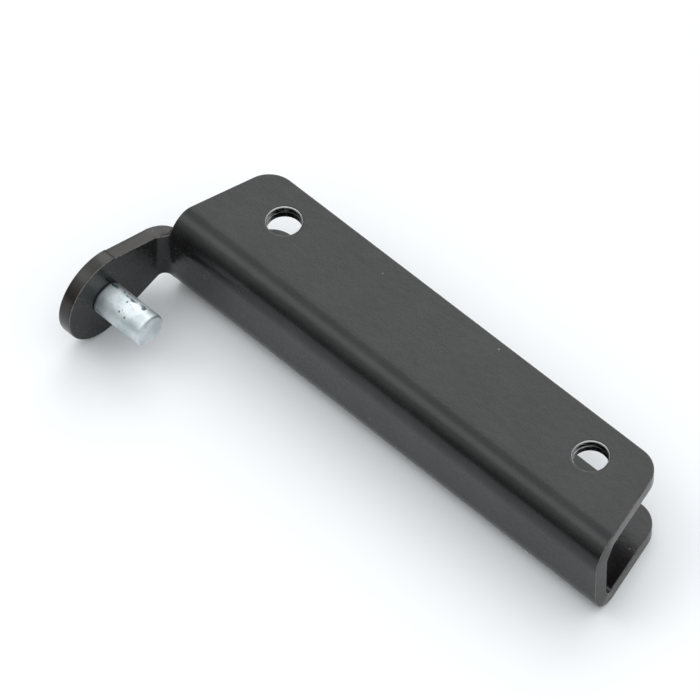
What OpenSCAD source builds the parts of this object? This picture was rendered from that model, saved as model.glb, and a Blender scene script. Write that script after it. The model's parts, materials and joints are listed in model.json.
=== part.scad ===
// Latch arm: a formed sheet-steel channel whose web runs on into a bent ear, with a pin riveted into the ear.
// The channel lies on one flange. X runs along it, Y goes from the web to the free edges, and Z is up.
// The origin is on the bottom face, on the axis of the bore nearest the ear.

/* [Channel] */
// Thickness of the sheet
sheet_t = 2.4; // [2:0.1:2.8]
// Width from the outer face of the web to the free edges of the flanges
channel_w = 18.7; // [17:0.05:22]
// Height over both flanges
channel_h = 15.8; // [14.6:0.1:18]
// Inside radius where the web turns into each flange
bend_r = 2.1; // [1.6:0.1:2.6]
// How far the web runs on past the bore axis at the ear's end
web_end_ear = 12.4; // [12:0.05:13]
// How far the web runs on past the bore axis at the far end
web_end_far = 12.95; // [12:0.05:16]
// How far each flange runs on past the bore axis, measured level with that axis
flange_end = 10.15; // [9:0.05:11]
// Slope of the flange ends
taper = 15; // [10:1:18]
// Radius of the free corners of the flanges
corner_r = 4.6; // [3:0.1:6]

/* [Bores] */
// Distance between the two bores along the channel
bore_pitch = 63.5; // [50:0.1:80]
// Diameter of the bores through both flanges
bore_d = 5.5; // [4:0.1:7]
// Distance from the bore axes to the free edges
bore_edge = 6.25; // [5.5:0.05:7]

/* [Ear] */
// Distance from the first bore axis to the ear's front face
ear_x = 13.55; // [13:0.05:15]
// Distance from the web's outer face to the centre of the ear's round end
ear_reach = 12.2; // [10:0.1:14]
// Radius of the ear's round end
ear_r = 7.8; // [7:0.1:7.9]
// Slope of the ear's sides
ear_flare = 17; // [8:1:20]
// Height of the neck where the ear leaves the web
neck_h = 8.8; // [6:0.1:9]
// Inside radius where the web turns into the ear
ear_bend_r = 1.8; // [1.2:0.1:2.4]

/* [Pin] */
// Diameter of the pin
pin_d = 5.5; // [4.6:0.1:6.5]
// Length of the pin in front of the ear
pin_l = 9.4; // [6:0.1:12]
// Size of the chamfer on the pin's free end
pin_chamfer = 0.4; // [0.1:0.05:0.8]
// Diameter of the pin's shank inside the ear
shank_d = 4; // [3:0.1:4.2]
// Diameter of the rivet head behind the ear
rivet_d = 6.4; // [5.4:0.1:8]
// Height of the rivet head behind the ear
rivet_h = 0.9; // [0.5:0.1:1.2]

/* [Hidden] */
$fn = 96;
overlap = 0.5;
bend_out = bend_r + sheet_t;
web_y = bore_edge - channel_w;
mid_x = bore_pitch / 2;
mid_z = channel_h / 2;
ear_y = web_y - ear_reach;
ear_bend_x = ear_bend_r - ear_x;
ear_bend_y = web_y - ear_bend_r;

// A quarter of a ring in the first quadrant, turned by a
module quarter_ring(r_in, r_out, a) {
    rotate(a) intersection() {
        difference() {
            circle(r_out);
            circle(r_in);
        }
        square(r_out);
    }
}

// Carries a shape drawn in Y and Z from x0 along X for a given length
module along_x(x0, length) {
    translate([x0, 0, 0]) rotate([90, 0, 90]) linear_extrude(length) children();
}

// The channel's section, drawn in Y and Z
module channel_section() {
    translate([web_y, bend_out]) square([sheet_t, channel_h - 2 * bend_out]);
    for (z = [0, channel_h - sheet_t]) {
        translate([web_y + bend_out, z]) square([channel_w - bend_out, sheet_t]);
    }
    translate([web_y + bend_out, bend_out]) quarter_ring(bend_r, bend_out, 180);
    translate([web_y + bend_out, channel_h - bend_out]) quarter_ring(bend_r, bend_out, 90);
}

// One half of the plan view, from the middle of the channel to its end: the web's end is square,
// the flange's end slopes back towards the free edge, and the free corner is round
module half_plan(web_end) {
    slope = tan(taper);
    far_x = mid_x + flange_end - bore_edge * slope;
    cut = corner_r * tan(45 - taper / 2);
    polygon([
        [0, web_y],
        [mid_x + web_end, web_y],
        [mid_x + web_end, (flange_end - web_end) / slope],
        [far_x + cut * sin(taper), bore_edge - cut * cos(taper)],
        [far_x - cut, bore_edge],
        [0, bore_edge]
    ]);
    translate([far_x - cut, bore_edge - corner_r]) circle(corner_r);
}

module plan() {
    translate([mid_x, 0]) half_plan(web_end_far);
    translate([mid_x, 0]) mirror([1, 0]) half_plan(web_end_ear);
}

// The ear's outline, drawn in Y and Z: its sides touch the round end and slope in as far as the bend,
// and the neck narrows through the bend and ends inside the web
module ear_outline() {
    bend_z = ear_r / cos(ear_flare) - (ear_bend_y - ear_y) * tan(ear_flare);
    touch = ear_r * [sin(ear_flare), cos(ear_flare)];
    translate([ear_y, mid_z]) circle(ear_r);
    for (side = [0, 1]) {
        translate([0, mid_z]) mirror([0, side]) polygon([
            [ear_y, 0],
            [ear_y + touch[0], touch[1]],
            [ear_bend_y, bend_z],
            [web_y, neck_h / 2],
            [web_y + sheet_t + overlap, neck_h / 2],
            [web_y + sheet_t + overlap, 0]
        ]);
    }
}

// The web's end bent outwards, and the flat ear after it
module ear() {
    intersection() {
        along_x(-ear_x - sheet_t, ear_x + sheet_t) ear_outline();
        union() {
            translate([ear_bend_x, ear_bend_y, 0])
                linear_extrude(channel_h) quarter_ring(ear_bend_r, ear_bend_r + sheet_t, 90);
            translate([-ear_x - sheet_t, ear_y - ear_r, 0])
                cube([sheet_t, ear_bend_y - ear_y + ear_r, channel_h]);
        }
    }
}

module bores() {
    for (x = [0, bore_pitch]) {
        translate([x, 0, -overlap]) cylinder(h = channel_h + 2 * overlap, d = bore_d);
    }
}

// One piece of sheet: the channel with its end cleared for the bend, and the ear
module channel_body() {
    color([0.15, 0.15, 0.15]) difference() {
        union() {
            difference() {
                intersection() {
                    along_x(-web_end_ear, web_end_ear + bore_pitch + web_end_far) channel_section();
                    linear_extrude(channel_h) plan();
                }
                intersection() {
                    along_x(-ear_x, ear_x + ear_bend_x) ear_outline();
                    translate([-ear_x, web_y - overlap, 0])
                        cube([ear_x, sheet_t + 2 * overlap, channel_h]);
                }
            }
            ear();
        }
        bores();
        translate([-ear_x - sheet_t - overlap, ear_y, mid_z])
            rotate([0, 90, 0]) cylinder(h = sheet_t + 2 * overlap, d = shank_d);
    }
}

// One turned piece on its own axis: rivet head, shank through the ear, and the working length
module latch_pin() {
    color("lightsteelblue") translate([-ear_x, ear_y, mid_z]) rotate([0, 90, 0]) {
        translate([0, 0, -sheet_t - rivet_h]) cylinder(h = rivet_h, d1 = rivet_d - 2 * rivet_h, d2 = rivet_d);
        translate([0, 0, -sheet_t - rivet_h / 2]) cylinder(h = sheet_t + rivet_h, d = shank_d);
        cylinder(h = pin_l - pin_chamfer, d = pin_d);
        translate([0, 0, pin_l - pin_chamfer])
            cylinder(h = pin_chamfer, d1 = pin_d, d2 = pin_d - 2 * pin_chamfer);
    }
}

channel_body();
latch_pin();
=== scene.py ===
# %% [markdown]
# # The arm of a gravity gate latch
#
# The real part is one strip of sheet steel, blanked flat, folded into an open channel, bent once more at
# one end into a round ear, and dipped in a black coating. A turned, zinc-plated pin is riveted into the
# ear.
#
# The lesson makes it the way a press shop does. A flat blank is laid out first, as surfaces worked out with
# numpy, and then one function bends all its points at once. So every fold keeps the sheet's thickness, and
# every cut edge has the same small rounding, because it is made while the sheet is still flat.

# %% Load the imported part
import json
import math

import bpy
import numpy as np
from mathutils import Matrix, Vector


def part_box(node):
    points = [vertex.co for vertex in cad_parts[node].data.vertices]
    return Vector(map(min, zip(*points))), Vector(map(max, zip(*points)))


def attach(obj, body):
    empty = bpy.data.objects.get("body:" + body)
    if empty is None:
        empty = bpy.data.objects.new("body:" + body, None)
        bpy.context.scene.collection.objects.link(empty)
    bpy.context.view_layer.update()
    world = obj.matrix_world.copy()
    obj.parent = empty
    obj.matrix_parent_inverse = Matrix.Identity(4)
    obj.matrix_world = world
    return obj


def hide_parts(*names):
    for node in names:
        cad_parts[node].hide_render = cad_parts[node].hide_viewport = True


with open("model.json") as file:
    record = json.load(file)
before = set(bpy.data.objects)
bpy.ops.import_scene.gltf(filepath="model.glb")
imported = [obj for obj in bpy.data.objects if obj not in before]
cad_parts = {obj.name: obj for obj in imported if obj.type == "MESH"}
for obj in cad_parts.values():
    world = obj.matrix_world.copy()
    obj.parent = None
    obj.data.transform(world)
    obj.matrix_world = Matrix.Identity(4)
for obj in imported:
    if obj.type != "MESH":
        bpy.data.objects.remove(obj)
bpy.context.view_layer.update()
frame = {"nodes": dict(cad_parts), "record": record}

MM = 0.001
body_low, body_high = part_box("channel_body")
pin_low, pin_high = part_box("latch_pin")
mounts = {m["name"]: m for m in frame["record"]["mounts"]}
print("nodes:", sorted(frame["nodes"]), "mounts:", sorted(mounts))

# %% [markdown]
# ## Sizes
#
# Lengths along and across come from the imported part's boxes and mounts. Only what a box can't say is named
# here: the sheet's thickness, the bend radii, and the angles and radii of the blank's outline.

# %% The sheet and its folds
SHEET = 2.4 * MM                    # thickness of the sheet
WEB_Y = -12.45 * MM                 # outer face of the web
FOLD_INSIDE = 2.1 * MM              # inside radius of the folds along the channel
EAR_FOLD_INSIDE = 1.8 * MM          # inside radius of the fold into the ear
TAPER = math.radians(15)            # slope of the flange ends
CORNER = 4.6 * MM                   # radius of the flanges' free corners
FLANGE_END = 10.15 * MM             # flange past a bore's axis, level with that axis
EAR_WEB_END = 12.4 * MM             # web past the first bore's axis
FLARE = math.radians(17)            # slope of the ear's sides
NECK = 8.8 * MM                     # height of the neck between web and ear
NECK_FILLET = 0.8 * MM              # radius in the corners beside the neck

half = SHEET / 2
mid_z = (body_low.z + body_high.z) / 2
bore_x = [mounts[name]["pos_m"][0] for name in ("pivot_bore", "far_bore")]
bore_r = mounts["pivot_bore"]["dims"]["r_mm"] * MM
edge_y = body_high.y
far_web_end = body_high.x - bore_x[1]
ear_front = body_low.x + SHEET
ear_y = mounts["catch_pin"]["pos_m"][1]
ear_r = ear_y - body_low.y

fold_r = FOLD_INSIDE + half
fold_length = fold_r * math.pi / 2
flat_web = mid_z - FOLD_INSIDE - SHEET
flange_s = flat_web + fold_length
flange_y = WEB_Y + FOLD_INSIDE + SHEET
edge_s = flange_s + edge_y - flange_y
bore_s = flange_s - flange_y
web_mid_y = WEB_Y + half

ear_fold_r = EAR_FOLD_INSIDE + half
ear_fold_x = ear_front + EAR_FOLD_INSIDE
ear_fold_y = WEB_Y - EAR_FOLD_INSIDE
ear_flat_p = ear_fold_x - ear_fold_r * math.pi / 2
ear_p = ear_flat_p - (ear_fold_y - ear_y)
blank_length = bore_x[1] + far_web_end - ear_p + ear_r
print(f"flat blank: {blank_length / MM:.1f} mm long, {2 * edge_s / MM:.1f} mm wide")

# %% [markdown]
# ## Small tools
#
# A patch is a grid of points. Patches that meet share the points of their common edge, so a weld on rounded
# coordinates closes the seams, and a row of points that has shrunk to one spot becomes the tip of a fan.

# %% Grids, welds and meshes
WELD = 1e-7


def steps(start, end, count):
    """Count equal steps from start, without the end."""
    return np.linspace(start, end, count, endpoint=False)


def soft_min(a, b, blend):
    """The smaller of a and b, with the corner between them rounded over about blend."""
    return (a + b - np.sqrt((a - b) ** 2 + blend ** 2)) / 2


def ease(start, end, x):
    """0 below start, 1 above end, and a smooth step between."""
    t = np.clip((x - start) / (end - start), 0, 1)
    return t * t * (3 - 2 * t)


def quads(rows, columns, closed=False):
    """The faces of a grid of points stored row by row. A closed grid joins its last column to its first."""
    i = np.arange(rows - 1)[:, None]
    j = np.arange(columns if closed else columns - 1)[None, :]
    k = (j + 1) % columns
    corners = [i * columns + j, i * columns + k, (i + 1) * columns + k, (i + 1) * columns + j]
    return np.stack(np.broadcast_arrays(*corners), -1).reshape(-1, 4)


class Shell:
    """Collects grids of points with their faces and painted values, and welds them into one closed mesh."""

    def __init__(self):
        self.points, self.faces, self.paint, self.count = [], [], [], 0

    def add(self, points, faces, wear=0.0, bare=0.0, flip=False):
        points = points.reshape(-1, 3)
        wear, bare = (np.broadcast_to(value, len(points)) for value in (wear, bare))
        self.points.append(points)
        self.paint.append(np.stack([wear, bare], -1))
        self.faces.append((faces[:, ::-1] if flip else faces) + self.count)
        self.count += len(points)

    def build(self, name, shape=None):
        """Welds the points, carries them through shape, and makes the mesh with its painted values."""
        points, faces, paint = (np.concatenate(parts) for parts in (self.points, self.faces, self.paint))
        _, first, index = np.unique(np.round(points / WELD), axis=0, return_index=True, return_inverse=True)
        index = index.ravel()
        points = points[first]
        merged = np.zeros((len(points), 2))
        np.maximum.at(merged, index, paint)
        used, faces = np.unique(index[faces], return_inverse=True)
        faces = faces.reshape(-1, 4)
        points, merged = points[used], merged[used]
        if shape:
            points = shape(points)
        a, b, c = points[faces[:, 0]], points[faces[:, 1]], points[faces[:, 2]]
        d = points[faces[:, 3]]
        halves = np.einsum("ij,ij->i", a, np.cross(b, c)) + np.einsum("ij,ij->i", a, np.cross(c, d))
        volume = halves.sum() / 6
        if volume < 0:
            faces = faces[:, ::-1]
        whole = (faces != np.roll(faces, -1, 1)).all(1)
        fans = [face[face != np.roll(face, -1)].tolist() for face in faces[~whole]]
        mesh = bpy.data.meshes.new(name)
        tips = [face for face in fans if len(face) == 3]
        mesh.from_pydata(points.tolist(), [], faces[whole].tolist() + tips)
        # The first painted value is real wear together with painted light: a painted highlight on the arm's
        # rounded edges and a painted shade streak on the pin.
        for column, title in enumerate(("wear", "bare")):
            layer = mesh.attributes.new(title, "FLOAT", "POINT")
            layer.data.foreach_set("value", merged[:, column].astype(np.float32))
        mesh.shade_smooth()
        piece = bpy.data.objects.new(name, mesh)
        bpy.context.scene.collection.objects.link(piece)
        print(f"{name}: {len(points)} points, {len(faces)} faces, {abs(volume) * 1e9:.0f} mm3")
        return piece


# %% [markdown]
# ## The blank's outline
#
# On the flat blank, p runs along the channel and s runs across it from the middle of the web. The channel's
# part is a grid whose rows have constant s and run from one end curve to the other. The ear's part is a
# ring of rays from the pin's hole to the ear's outline. The end curves and the ear's outline are drawn
# inside the true cut edge by the width of the rim, which is added afterwards as a profile carried round the
# whole outline.

# %% Rows and columns of the channel
ROUND = 0.2 * MM                    # rounding of the cut edges, coating included
EDGE_FLAT = 0.12 * MM               # narrow flat beside the rounding
RIM = ROUND + EDGE_FLAT             # width of the rim strip
PATCH = 4 * MM                      # half side of the square round each bore
PATCH_STEPS = 20                    # cells along each side of that square
END_BLEND = 0.1 * MM                # how softly the square end turns into the slope
shoulder_s = NECK / 2 + NECK_FILLET


def level(s):
    """Where a row lies in Y once the flanges are folded: flat web, quarter turn, flat flange."""
    over = np.maximum(np.abs(s) - flat_web, 0)
    turn = np.minimum(over, fold_length) / fold_r
    return web_mid_y + fold_r * (1 - np.cos(turn)) + np.maximum(over - fold_length, 0)


def straight(start, end, count):
    """Columns that lie at the same places in every row."""
    return np.broadcast_to(steps(start, end, count)[:, None], (count, len(rows)))


def end_reach(s, web_end):
    """How far row s runs past a bore's axis: the lesser of square end and slope, then the round corner."""
    y = level(s)
    radius = CORNER - RIM
    square = web_end - RIM
    slope = FLANGE_END - RIM / math.cos(TAPER) - y * math.tan(TAPER)
    corner_x = FLANGE_END - edge_y * math.tan(TAPER) - CORNER * math.tan(math.pi / 4 - TAPER / 2)
    up = y - edge_y + CORNER
    corner = corner_x + np.sqrt(np.maximum(radius ** 2 - up ** 2, 0))
    return np.where(up > radius * math.sin(TAPER), corner, soft_min(square, slope, END_BLEND))


corner_s = edge_s - CORNER
corner_start = math.asin((bore_s + PATCH - corner_s) / (CORNER - RIM))
half_rows = np.concatenate([
    steps(0, flat_web, 8),
    steps(flat_web, shoulder_s, 4),
    steps(shoulder_s, flange_s, 12),
    steps(flange_s, bore_s - PATCH, 5),
    steps(bore_s - PATCH, bore_s + PATCH, PATCH_STEPS),
    corner_s + (CORNER - RIM) * np.sin(np.linspace(corner_start, math.pi / 2, 13)),
])
rows = np.concatenate([-half_rows[:0:-1], half_rows])
left = bore_x[0] - end_reach(rows, EAR_WEB_END)
right = bore_x[1] + end_reach(rows, far_web_end)
ear_side, far_side = bore_x[0] - PATCH, bore_x[1] + PATCH
columns = np.concatenate([
    left + steps(0, 1, 20)[:, None] * (ear_side - left),
    straight(ear_side, bore_x[0] + PATCH, PATCH_STEPS),
    straight(bore_x[0] + PATCH, bore_x[1] - PATCH, 40),
    straight(bore_x[1] - PATCH, far_side, PATCH_STEPS),
    far_side + np.linspace(0, 1, 11)[:, None] * (right - far_side),
])
channel = np.stack([columns, np.broadcast_to(rows, columns.shape)], -1)
print("channel grid:", channel.shape[:2])

# %% Outline of the ear
ROUND_FROM = -18.6 * MM             # where the neck's grid ends and the ring round the pin's hole begins
FLARE_BLEND = 0.4 * MM              # how softly the flared side turns into the drawn-in part
NECK_BLEND = 0.2 * MM               # how softly that part turns into the neck
FINE = 600                          # points along the side and round the end of the outline
EAR_STEPS = 90                      # points along each half of the ear's loop
web_x = bore_x[0] - EAR_WEB_END


def ear_half_height(p):
    """Half height of the ear at p: straight flared sides that draw in through the fold, down to the neck."""
    fold_half = ear_r / math.cos(FLARE) - (ear_fold_y - ear_y) * math.tan(FLARE)
    side = fold_half + (ear_flat_p - p) * math.tan(FLARE)
    turn = np.clip((ear_fold_x - p) / ear_fold_r, 0, math.pi / 2)
    draw = (fold_half - NECK / 2) / EAR_FOLD_INSIDE
    drawn = fold_half - draw * ear_fold_r * np.cos(turn) + draw * np.maximum(ear_flat_p - p, 0)
    return -soft_min(-soft_min(side, drawn, FLARE_BLEND), -NECK / 2, NECK_BLEND)


def ear_side_outline():
    """One side of the ear from web to nose: a hollow fillet, the neck and flared side, and the round end."""
    p = np.linspace(web_x - NECK_FILLET, ear_p + ear_r * math.sin(FLARE), FINE)[1:]
    side = np.stack([p, ear_half_height(p)], -1)
    angle = np.linspace(0, math.pi / 2, 90)
    start = ear_half_height(web_x - NECK_FILLET)
    drop = shoulder_s - start
    fillet = np.stack([web_x - NECK_FILLET * (1 - np.cos(angle)), shoulder_s - drop * np.sin(angle)], -1)
    angle = np.linspace(math.pi / 2 - FLARE, math.pi, FINE)[1:]
    end = np.stack([ear_p + ear_r * np.cos(angle), ear_r * np.sin(angle)], -1)
    return np.concatenate([fillet, side, end])


def outward(line, closed=True):
    """Unit normals to the right of a line: the mean direction of the segments at a point, turned."""
    ahead = np.roll(line, -1, 0) - line
    ahead /= np.linalg.norm(ahead, axis=1)[:, None]
    behind = np.roll(ahead, 1, 0)
    if not closed:
        ahead[-1], behind[0] = behind[-1], ahead[0]
    mean = ahead + behind
    mean /= np.linalg.norm(mean, axis=1)[:, None]
    return np.stack([mean[:, 1], -mean[:, 0]], -1)


outer = ear_side_outline()
normal = outward(outer, closed=False)
normal[0], normal[-1] = (-1, 0), (-1, 0)
inner = outer - RIM * normal
fillet_turn = np.linspace(0, math.pi / 2, 13)[:-1]
neck_p = np.concatenate([
    web_x + RIM - (NECK_FILLET + RIM) * (1 - np.cos(fillet_turn)),
    np.linspace(web_x - NECK_FILLET, ROUND_FROM, 26),
])
neck_half = np.interp(neck_p, inner[::-1, 0], inner[::-1, 1])
neck_rows = np.flatnonzero(np.abs(rows) <= shoulder_s + WELD)
across = rows[neck_rows] / shoulder_s
neck = np.stack(np.broadcast_arrays(neck_p[:, None], neck_half[:, None] * across), -1)
neck[0] = channel[0, neck_rows]

beyond = inner[inner[:, 0] < ROUND_FROM]
run = np.cumsum(np.linalg.norm(np.diff(beyond, axis=0, prepend=neck[-1:, -1]), axis=1))
even = np.linspace(0, run[-1], EAR_STEPS)[1:]
round_side = np.stack([np.interp(even, run, beyond[:, 0]), np.interp(even, run, beyond[:, 1])], -1)
round_line = np.concatenate([round_side, round_side[-2::-1] * (1, -1)])
print("neck grid:", neck.shape[:2], "points round the ear:", len(round_line))

# %% [markdown]
# ## Faces, rims and bores
#
# Both faces of the sheet use the same patches, one at each side of the middle. A rim is a profile of inset
# and height carried round a loop: along the cut edge it is a rounded corner, a plain wall and another
# rounded corner. In a punched bore it is a small roll-in, a smooth sheared wall, and a rougher torn stretch
# that opens a little.

# %% Build the blank
SHANK = 2 * MM                      # radius of the pin's shank and of its hole
HOLE_ROUND = 0.3                    # the hole's rounding is this much as wide as the cut edge's
WALL_WEAR = 0.55                    # how rubbed the plain wall of the cut edge is
BOLT_SIDE = (-0.6, 0.8)             # the side of each bore that the bolt bears on and rubs bare


def ring(loop, centre, radius, count):
    """Rays from a circle to a closed loop round it, with evenly spaced points from one to the other."""
    away = loop - centre
    inner = centre + radius * away / np.linalg.norm(away, axis=1)[:, None]
    return inner + np.linspace(0, 1, count + 1)[:, None, None] * (loop - inner)


def frame_loop(grid, c0, c1, r0, r1):
    """The points round a block of a grid, anticlockwise, each once."""
    return np.concatenate([grid[c0:c1, r0], grid[c1, r0:r1], grid[c1:c0:-1, r1], grid[c0, r1:r0:-1]])


def at_height(flat, h):
    """Lifts points of the blank to height h above the sheet's middle."""
    return np.concatenate([flat, np.broadcast_to(h, flat.shape[:-1])[..., None]], -1)


def add_faces(shell, flat, faces):
    """The same patch on both faces of the sheet."""
    shell.add(at_height(flat, half), faces)
    shell.add(at_height(flat, -half), faces, flip=True)


def add_rim(shell, loop, profile, wear, bare=0.0):
    """A profile of (inset, height) carried round a loop that lies one rim's width inside the cut edge."""
    inset, height = profile.T
    flat = loop + (RIM - inset)[:, None, None] * outward(loop)
    solid = at_height(flat, height[:, None])
    spread = [np.broadcast_to(value, (len(profile), len(loop))).ravel() for value in (wear, bare)]
    shell.add(solid, quads(len(profile), len(loop), closed=True), *spread)


turn = np.linspace(0, math.pi / 2, 6)
over_edge = np.stack([ROUND * (1 - np.sin(turn)), half - ROUND * (1 - np.cos(turn))], -1)
wall = np.array([[0, 0.5 * MM], [0, -0.5 * MM]])
edge_profile = np.concatenate([[[RIM, half]], over_edge, wall, over_edge[::-1] * (1, -1), [[RIM, -half]]])
# Along each rounded corner of the cut edge these values are partly real rubbing and partly a painted
# highlight: the light line that the small rounding catches.
rub_and_highlight = np.minimum(1.15, 1.6 * np.sin(2 * turn) + 0.25 * np.sin(turn))
edge_wear_and_highlight = np.concatenate([[0], rub_and_highlight, [WALL_WEAR, WALL_WEAR], rub_and_highlight[::-1], [0]])

blank = Shell()
in_patch = np.zeros((channel.shape[0] - 1, channel.shape[1] - 1), bool)
patches = []
for x in bore_x:
    c0 = int(np.argmin(np.abs(columns[:, len(rows) // 2] - (x - PATCH))))
    for s in (-bore_s, bore_s):
        r0 = int(np.argmin(np.abs(rows - (s - PATCH))))
        c1, r1 = c0 + PATCH_STEPS, r0 + PATCH_STEPS
        in_patch[c0:c1, r0:r1] = True
        patches.append((np.array([x, s]), frame_loop(channel, c0, c1, r0, r1)))
add_faces(blank, channel, quads(*channel.shape[:2])[~in_patch.ravel()])

bore_profile = np.array([
    [RIM, half], [0.12 * MM, half], [0.09 * MM, half - 0.02 * MM], [-0.05 * MM, half - 0.16 * MM],
    [-0.06 * MM, half - 0.22 * MM], [-0.06 * MM, 0.2 * MM], [0, 0.1 * MM], [0, 0], [-0.04 * MM, -0.12 * MM],
    [-0.02 * MM, -half + 0.25 * MM], [0.03 * MM, -half + 0.05 * MM], [0.1 * MM, -half], [RIM, -half],
])
bore_bare = np.array([0, 0.2, 0.9, 0.9, 0.25, 0.25, 0.6, 0.6, 0.2, 0.2, 0.3, 0, 0])
for centre, loop in patches:
    patch = ring(loop, centre, bore_r + RIM, 5)
    add_faces(blank, patch, quads(*patch.shape[:2], closed=True))
    rim = patch[0][::-1]
    side = (rim - centre) @ BOLT_SIDE / np.linalg.norm(rim - centre, axis=1)
    share = 0.25 + 0.9 * ease(-0.9, 0.1, side)    # a little bare all round, and most on the bolt's side
    add_rim(blank, rim, bore_profile, 0.0, bore_bare[:, None] * share)

add_faces(blank, neck, quads(*neck.shape[:2])[:, ::-1])
ear_patch = ring(np.concatenate([neck[-1], round_line]), np.array([ear_p, 0]), SHANK + RIM, 16)
add_faces(blank, ear_patch, quads(*ear_patch.shape[:2], closed=True))
hole_profile = edge_profile * (HOLE_ROUND, 1)
hole_profile[[0, -1], 0] = RIM
add_rim(blank, ear_patch[0][::-1], hole_profile, 0.0)

low_rows, high_rows = np.arange(neck_rows[0] + 1), np.arange(neck_rows[-1], len(rows))
outline = np.concatenate([
    channel[:-1, 0], channel[-1, :-1], channel[:0:-1, -1], channel[0, high_rows[::-1]],
    neck[1:, -1], round_line, neck[:0:-1, 0], channel[0, low_rows[:0:-1]],
])
add_rim(blank, outline, edge_profile, edge_wear_and_highlight[:, None])
print("blank:", blank.count, "points before the weld,", len(outline), "round the cut edge")

# %% [markdown]
# ## Folding
#
# Each point of the blank keeps its distance from the sheet's middle. The flange folds turn it about a line
# along the channel, and this turn fades out in the neck, where the ear has to be flat. Then the ear's fold
# turns what lies beyond it about an upright line, and this turn fades out beside the neck, where the
# flanges carry on.

# %% Fold the blank and stand it in place
NECK_FLAT = -14.6 * MM              # the flange folds have faded out here
NECK_FOLDED = -12.2 * MM            # and are complete from here on
BESIDE_NECK = (-13.8 * MM, -12.4 * MM)   # where the ear's fold fades out beside the neck
BESIDE_FADE = 1.6 * MM              # how far above and below the neck it takes to fade out
LEAST_BEND = 1e-6                   # stands for no bend, where the formula would divide by zero


def press(points):
    """Folds (p, s, h): a turn of up to a quarter in the plane of Y and Z, then one in that of X and Y."""
    p, s, h = points.T
    over = np.maximum(np.abs(s) - flat_web, 0)
    arc = np.minimum(over, fold_length)
    bend = np.maximum(ease(NECK_FLAT, NECK_FOLDED, p), LEAST_BEND) / fold_r
    turn = arc * bend
    y = web_mid_y + (1 - np.cos(turn)) / bend + (over - arc) * np.sin(turn) - h * np.cos(turn)
    z = np.minimum(np.abs(s), flat_web) + np.sin(turn) / bend + (over - arc) * np.cos(turn) + h * np.sin(turn)
    past = np.maximum(ear_fold_x - p, 0)
    beside = ease(NECK / 2, NECK / 2 + BESIDE_FADE, np.abs(s)) * ease(*BESIDE_NECK, p)
    turn = np.minimum(past / ear_fold_r, math.pi / 2) * (1 - beside)
    rest = past - turn * ear_fold_r
    radius = ear_fold_r - (web_mid_y - y)
    x = np.where(past > 0, ear_fold_x - radius * np.sin(turn) - rest * np.cos(turn), p)
    y = np.where(past > 0, ear_fold_y + radius * np.cos(turn) - rest * np.sin(turn), y)
    return np.stack([x, y, mid_z + np.sign(s) * z], -1)


arm = blank.build("latch_arm", press)
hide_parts("channel_body")
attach(arm, "root")

# %% [markdown]
# ## The pin
#
# The pin is turned from round bar: a working length with a small chamfer, a thinner shank through the ear,
# and behind the ear the head that the riveting punch spread out of the shank. A profile carried round the
# pin's axis makes it. It could be stacked cylinders with a bevel, but the punched head and the foot are
# easier to draw as one line. The seat beside the ear is cut back a little, which leaves the fine dark line
# round the pin's foot.

# %% Turn the pin
pin_r = mounts["catch_pin"]["dims"]["r_mm"] * MM
pin_z = mounts["catch_pin"]["pos_m"][2]
HEAD = 3.2 * MM                     # radius of the punched head
CHAMFER = 0.4 * MM                  # radius of the rounded edge at the free end
AROUND = 96                         # points round the pin
SHADE_STREAK_AT = math.radians(68)        # where the painted shade streak runs along the pin, turned from +Y towards +Z
SHADE_STREAK_WIDTH = math.radians(14)
pin_length = pin_high.x - ear_front
head_height = ear_front - SHEET - pin_low.x


def pin_profile():
    """(x, r) from the middle of the head to the middle of the free end, with x from the ear's front face."""
    turn = np.linspace(0, math.pi / 2, 14)
    back = -SHEET
    head = np.stack([back - head_height * np.cos(turn) ** 0.8, HEAD * np.sin(turn) ** 0.75], -1)
    tuck = [[back, HEAD - 0.15 * MM], [back, SHANK], [-0.02 * MM, SHANK], [-0.02 * MM, pin_r - 0.3 * MM]]
    foot = [
        [0.02 * MM, pin_r - 0.12 * MM], [0.09 * MM, pin_r - 0.11 * MM],
        [0.14 * MM, pin_r - 0.04 * MM], [0.22 * MM, pin_r - 0.005 * MM],
    ]
    along = np.linspace(0.45 * MM, pin_length - 0.55 * MM, 30)
    shaft = np.stack([along, np.full(len(along), pin_r)], -1)
    turn = np.linspace(0, math.pi / 2, 10)
    end = np.stack([pin_length - CHAMFER * (1 - np.sin(turn)), pin_r - CHAMFER * (1 - np.cos(turn))], -1)
    inwards = np.linspace(pin_r - 0.5 * MM, 0, 12)
    face = np.stack([np.full(len(inwards), pin_length), inwards], -1)
    face[-4:, 0] -= np.array([0.01, 0.05, 0.07, 0.08]) * MM
    return np.concatenate([head, tuck, foot, shaft, end, face])


def lathe(profile, count, x, y, z):
    """Each (x, r) of a profile, carried once round an axis along X."""
    angle = steps(0, 2 * math.pi, count)
    along, radius = profile.T[:, :, None]
    circle = np.broadcast_arrays(x + along, y + radius * np.cos(angle), z + radius * np.sin(angle))
    return np.stack(circle, -1)


turned = Shell()
profile = pin_profile()
surface = lathe(profile, AROUND, ear_front, ear_y, pin_z)
# The streak is painted shade: it darkens the band of the pin's top where the lamp behind the open side is
# mirrored.
shade_streak_turn = steps(0, 2 * math.pi, AROUND) - SHADE_STREAK_AT
shade_streak_span = (profile[:, :1] > 0) & (profile[:, :1] < 0.8 * pin_length)
shade_streak = np.exp(-(shade_streak_turn / SHADE_STREAK_WIDTH) ** 2) * shade_streak_span
turned.add(surface, quads(*surface.shape[:2], closed=True), wear=shade_streak.ravel())
pin = turned.build("catch_pin")
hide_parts("latch_pin")
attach(pin, "root")

# %% [markdown]
# ## Shader maths
#
# A Value wraps a node's socket and adds a Math node for each operator, so a mask reads as a formula. Finish
# holds one material and has a single method that makes any other node.

# %% Values and finishes


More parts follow.
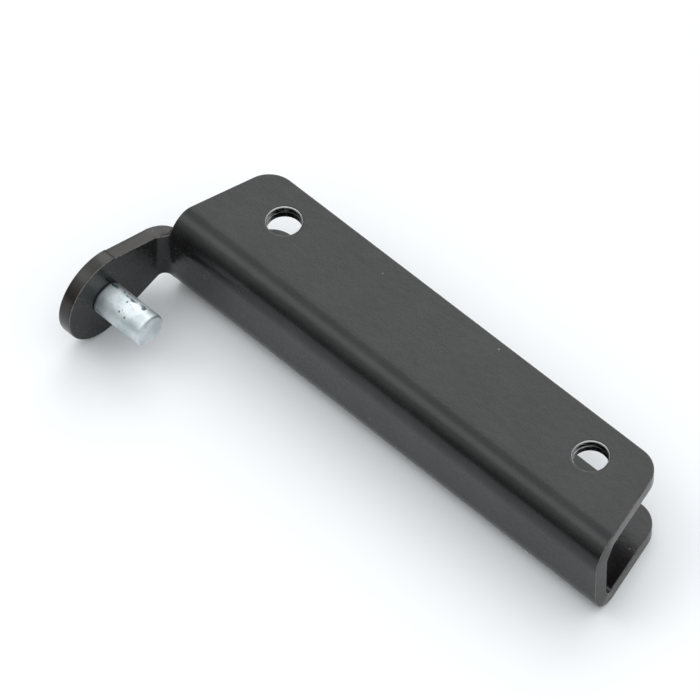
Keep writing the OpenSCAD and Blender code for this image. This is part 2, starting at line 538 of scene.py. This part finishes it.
class Value:
    """A number that varies over the surface."""

    def __init__(self, finish, socket):
        self.finish, self.socket = finish, socket

    def maths(self, operation, *values):
        return self.finish.node("ShaderNodeMath", {"operation": operation}, dict(enumerate(values)))

    def __add__(self, other):
        return self.maths("ADD", self, other)

    def __sub__(self, other):
        return self.maths("SUBTRACT", self, other)

    def __rsub__(self, other):
        return self.maths("SUBTRACT", other, self)

    def __mul__(self, other):
        return self.maths("MULTIPLY", self, other)

    __radd__, __rmul__ = __add__, __mul__

    def step(self, low, high):
        """0 below low, 1 above high, and a smooth step between; falls instead where low is above high."""
        settings = {"interpolation_type": "SMOOTHSTEP"}
        ends = (0, 1) if low < high else (1, 0)
        inputs = {"Value": self, "From Min": min(low, high), "From Max": max(low, high)}
        inputs.update({"To Min": ends[0], "To Max": ends[1]})
        return self.finish.node("ShaderNodeMapRange", settings, inputs)


class Finish:
    """One material: a Principled surface whose inputs are set by name."""

    def __init__(self, name, **surface):
        self.material = bpy.data.materials.new(name)
        self.material.use_nodes = True
        self.tree = self.material.node_tree
        self.surface = self.tree.nodes["Principled BSDF"]
        self.coords = self.node("ShaderNodeTexCoord", output="Object")
        for key, value in surface.items():
            self.put(self.surface.inputs[key.replace("_", " ")], value)

    def put(self, socket, value):
        if isinstance(value, Value):
            self.tree.links.new(value.socket, socket)
        else:
            socket.default_value = value

    def node(self, kind, settings=None, inputs=None, output=0):
        made = self.tree.nodes.new(kind)
        for key, value in (settings or {}).items():
            setattr(made, key, value)
        for key, value in (inputs or {}).items():
            self.put(made.inputs[key], value)
        return Value(self, made.outputs[output])

    def noise(self, size, detail=2.0, stretch=(1, 1, 1), rough=0.5):
        """Cloudy variation from 0 to 1, with features of about the given size in metres."""
        place = self.node("ShaderNodeMapping", {}, {"Vector": self.coords, "Scale": stretch})
        inputs = {"Vector": place, "Scale": 1 / size, "Detail": detail, "Roughness": rough}
        return self.node("ShaderNodeTexNoise", {}, inputs)

    def specks(self, size, share, spread):
        """Small round spots: 1 inside a spot. Only that share of the cells, each size wide, has one."""
        inputs = {"Vector": self.coords, "Scale": 1 / size}
        near = self.node("ShaderNodeTexVoronoi", {}, inputs, "Distance")
        pick = self.node("ShaderNodeTexVoronoi", {}, inputs, "Color")
        chance = self.node("ShaderNodeSeparateColor", {}, {"Color": pick}, "Red")
        return near.step(spread, spread * 0.5) * chance.step(share, share * 0.9)

    def painted(self, title):
        return self.node("ShaderNodeAttribute", {"attribute_name": title}, output="Fac")

    def mix(self, mask, first, second):
        """A colour that goes from first to second as mask goes from 0 to 1."""
        made = self.tree.nodes.new("ShaderNodeMix")
        made.data_type = "RGBA"
        # A Mix node has one set of sockets for each type of data: 6, 7 and output 2 are the colours.
        for socket, value in (("Factor", mask), (6, first), (7, second)):
            self.put(made.inputs[socket], value)
        return Value(self, made.outputs[2])

    def relief(self, height, depth, under=None):
        """A Bump node: height from 0 to 1 stands for depth in metres."""
        inputs = {"Height": height, "Distance": depth}
        if under:
            inputs["Normal"] = under
        return self.node("ShaderNodeBump", {}, inputs, "Normal")

    def finish(self, **links):
        for key, value in links.items():
            self.put(self.surface.inputs[key.replace("_", " ")], value)
        return self.material


# %% [markdown]
# ## The black coating
#
# Electro-coat over steel is thin and satin: nearly black, slightly mottled, with the fine ripple of the
# sheet under it. Handling rubs it to a warm brown-grey on the cut edges, and the same rubbed colour also
# paints a highlight: the thin light line along the middle of each rounded edge is painted light. A bolt has
# rubbed the bores' rims bare on one side. One flat colour would look like plastic, so the gloss varies as
# well as the colour. Edges could be found by their sharpness while rendering, but wear, highlight and bare
# values stored on the mesh also last through an export.

# %% Coat the arm


def black_coating():
    """Satin black with mottling, dust and ripple, worn on the cut edges with a painted highlight along them,
    and bare on the bores' rims.
    """
    coat = Finish("black_coating", Specular_IOR_Level=0.42)
    cloud = coat.noise(14 * MM, 4)
    grain = coat.noise(0.35 * MM, 3, rough=0.6)
    ripple = coat.noise(1.6 * MM, 2)
    scuff = coat.noise(2.2 * MM, 5, stretch=(0.25, 1, 1), rough=0.65)
    # Rubbed coat on the cut edges, and with it a painted highlight: the light line along each rounded edge.
    worn_and_highlight = (coat.painted("wear") * 0.75 + coat.noise(0.9 * MM, 4, rough=0.7) - 0.5).step(0.55, 0.95)
    ragged = (coat.noise(0.8 * MM, 3, stretch=(1, 1, 2.5)) - 0.5) * 0.9
    bare = (coat.painted("bare") + ragged).step(0.3, 0.65)
    dust = coat.specks(2.5 * MM, 0.13, 0.07)
    mottle = grain.step(0.3, 0.75) * 0.6 + cloud.step(0.3, 0.7) * 0.4
    black = coat.mix(mottle, (0.001, 0.001, 0.001, 1), (0.007, 0.0067, 0.0066, 1))
    haze = coat.noise(8 * MM, 5, rough=0.6).step(0.42, 0.72) * 0.6 + scuff.step(0.5, 0.7) * 0.4
    black = coat.mix(haze * 0.1, black, (0.11, 0.106, 0.112, 1))
    black = coat.mix(coat.painted("wear") * 0.4, black, (0.045, 0.034, 0.026, 1))
    black = coat.mix(dust * 0.6, black, (0.32, 0.31, 0.3, 1))
    # The worn colour is partly rubbed coat and partly a painted highlight on the rounded edges.
    black = coat.mix(worn_and_highlight * 0.6, black, (0.18, 0.165, 0.145, 1))
    steel = coat.mix(grain, (0.58, 0.58, 0.57, 1), (0.86, 0.86, 0.85, 1))
    rough = 0.16 + cloud * 0.05 + grain * 0.14 + scuff.step(0.55, 0.75) * 0.1
    bump = coat.relief(ripple, 0.02 * MM)
    bump = coat.relief(grain, 0.014 * MM, bump)
    return coat.finish(
        Base_Color=coat.mix(bare, black, steel),
        Metallic=bare,
        Roughness=rough * (1 - bare) + bare * (0.3 + grain * 0.2),
        Normal=bump,
    )


arm.data.materials.append(black_coating())
print("black_coating:", len(arm.data.materials[0].node_tree.nodes), "nodes")

# %% [markdown]
# ## The zinc plate
#
# Bright zinc has a cold, slightly blue tone. The turning tool leaves fine rings round the shaft, and the
# riveting jaw leaves dark nicks near the foot, with small spots where the plate is thin. A broken dark streak
# along one side of the pin's top is painted shade, darkening the band where the lamp behind the open side is
# mirrored. Plain noise would put the streak anywhere, so its place is stored on the mesh and the noise only
# breaks it up.

# %% Plate the pin


def zinc_plate():
    """Blue-white metal with turning rings, cloudy patches, dark nicks and spots, and a broken streak of
    painted shade.
    """
    plate = Finish("zinc_plate", Metallic=1.0)
    cloud = plate.noise(2.4 * MM, 4)
    rings = plate.noise(0.16 * MM, 2, stretch=(1, 0.03, 0.03))
    grain = plate.noise(0.25 * MM, 3)
    nicks = plate.noise(0.9 * MM, 5, stretch=(0.6, 1.5, 1.5), rough=0.7).step(0.6, 0.68)
    smudge = plate.noise(0.9 * MM, 4, stretch=(0.6, 1, 1), rough=0.65)
    # Random dark smudges, and along the stored streak a painted shade on the pin's upper side.
    smudges_and_painted_shade = (plate.painted("wear") * 0.6 + smudge * 2 - 1).step(0.35, 0.8)
    pits = plate.noise(0.45 * MM, 3, stretch=(0.7, 1, 1), rough=0.6).step(0.66, 0.71)
    spots = plate.specks(1.3 * MM, 0.3, 0.2) + pits
    along = plate.node("ShaderNodeSeparateXYZ", {}, {"Vector": plate.coords}, "X")
    foot = along.step(ear_front + 6 * MM, ear_front + 0.5 * MM)
    dark = (nicks * (0.3 + 0.7 * foot) + smudges_and_painted_shade + spots * 0.8).step(0.1, 1.1)
    colour = plate.mix(cloud.step(0.35, 0.7), (0.54, 0.60, 0.62, 1), (0.74, 0.785, 0.80, 1))
    colour = plate.mix(dark, colour, (0.055, 0.09, 0.13, 1))
    bump = plate.relief(rings, 0.004 * MM)
    bump = plate.relief(nicks, 0.02 * MM, bump)
    return plate.finish(
        Base_Color=colour,
        Roughness=0.42 + cloud * 0.12 + grain * 0.1 + dark * 0.1,
        Normal=bump,
    )


pin.data.materials.append(zinc_plate())
print("zinc_plate:", len(pin.data.materials[0].node_tree.nodes), "nodes")

# %% [markdown]
# ## Floor and light
#
# The part lies on a plain, nearly white floor. One broad lamp shines from behind the open side, so that the
# ear is half in the channel's shadow, and a weaker one on the web's side, past the ear, lifts the web and
# the pin. A sky that is bright overhead and dim at the horizon gives the black coat its soft sheen on top
# and a darker band under each rounded edge. Two lamps alone would leave the coat without that sheen, since
# it mirrors whatever is round it.

# %% Floor


def pale_floor():
    """Matt off-white with a very faint grain."""
    floor = Finish("pale_floor", Specular_IOR_Level=0.2)
    cloud = floor.noise(30 * MM, 3)
    white = floor.mix(cloud, (0.865, 0.88, 0.89, 1), (0.885, 0.9, 0.91, 1))
    return floor.finish(Base_Color=white, Roughness=0.6 + cloud * 0.1)


FLOOR_HALF = 4.0                    # half the floor's side, in metres
floor_mesh = bpy.data.meshes.new("floor")
floor_z = body_low.z
floor_corners = FLOOR_HALF * np.array([(-1, -1), (1, -1), (1, 1), (-1, 1)])
floor_mesh.from_pydata([(x, y, floor_z) for x, y in floor_corners.tolist()], [], [(0, 1, 2, 3)])
floor = bpy.data.objects.new("floor", floor_mesh)
floor.data.materials.append(pale_floor())
bpy.context.scene.collection.objects.link(floor)
print("floor:", 2 * FLOOR_HALF, "m square at height", floor_z)

# %% Light
SKY_HEIGHTS = (0.2, 0.85)           # the sky brightens between these two heights


def direction(azimuth, elevation):
    """Unit vector towards a place seen from the part: azimuth 0 is towards -Y and 90 towards +X."""
    a, e = math.radians(azimuth), math.radians(elevation)
    return Vector((math.sin(a) * math.cos(e), -math.cos(a) * math.cos(e), math.sin(e)))


def sun(name, azimuth, elevation, strength, angle):
    """A lamp so far away that its light is parallel, with the angular size of a soft box."""
    lamp = bpy.data.lights.new(name, "SUN")
    lamp.energy = strength
    lamp.angle = math.radians(angle)
    made = bpy.data.objects.new(name, lamp)
    made.rotation_mode = "QUATERNION"
    made.rotation_quaternion = direction(azimuth, elevation).to_track_quat("Z", "Y")
    bpy.context.scene.collection.objects.link(made)


def sky(horizon, zenith):
    """Slightly blue light from all sides: horizon below the first height, zenith above the second, and a
    smooth step between them. A height is the sine of its angle above the floor."""
    world = bpy.data.worlds.new("studio")
    world.use_nodes = True
    nodes, links = world.node_tree.nodes, world.node_tree.links
    split = nodes.new("ShaderNodeSeparateXYZ")
    nodes["Background"].inputs["Color"].default_value = (0.965, 0.985, 1, 1)
    grow = nodes.new("ShaderNodeMapRange")
    grow.interpolation_type = "SMOOTHSTEP"
    for name, value in zip(("From Min", "From Max", "To Min", "To Max"), (*SKY_HEIGHTS, horizon, zenith)):
        grow.inputs[name].default_value = value
    links.new(nodes.new("ShaderNodeTexCoord").outputs["Generated"], split.inputs[0])
    links.new(split.outputs["Z"], grow.inputs["Value"])
    links.new(grow.outputs[0], nodes["Background"].inputs["Strength"])
    bpy.context.scene.world = world


sun("key", azimuth=-150, elevation=38, strength=0.6, angle=40)
sun("front_box", azimuth=-55, elevation=56, strength=0.17, angle=24)
sky(horizon=0.24, zenith=1.4)
print("lamps:", [lamp.name for lamp in bpy.data.lights])

# %% [markdown]
# ## Camera
#
# The camera stands about a metre off with a long lens, so that the channel's parallel edges stay nearly
# parallel. It looks down on the pin's end of the arm, and it is turned very slightly about its own line of
# sight.

# %% Camera
CAMERA_FROM = (45.51, 52.54)        # azimuth and elevation, in degrees
CAMERA_ROLL = math.radians(-1.22)
CAMERA_DISTANCE = 1.051             # in metres
CAMERA_LENS = 360.2                 # in millimetres, for a sensor 36 mm wide
CAMERA_AT = Vector((19.98 * MM, -6.3 * MM, mid_z))

camera = bpy.data.objects.new("camera", bpy.data.cameras.new("camera"))
camera.data.sensor_width = 36
camera.data.lens = CAMERA_LENS
camera.data.clip_start = 0.01
camera.data.clip_end = 20
back = direction(*CAMERA_FROM)
aim = back.to_track_quat("Z", "Y").to_matrix() @ Matrix.Rotation(CAMERA_ROLL, 3, "Z")
camera.matrix_world = Matrix.Translation(CAMERA_AT + CAMERA_DISTANCE * back) @ aim.to_4x4()
bpy.context.scene.collection.objects.link(camera)
bpy.context.scene.camera = camera
bpy.context.scene.view_settings.view_transform = "Standard"
print(f"camera: {camera.location.length:.2f} m from the first bore")
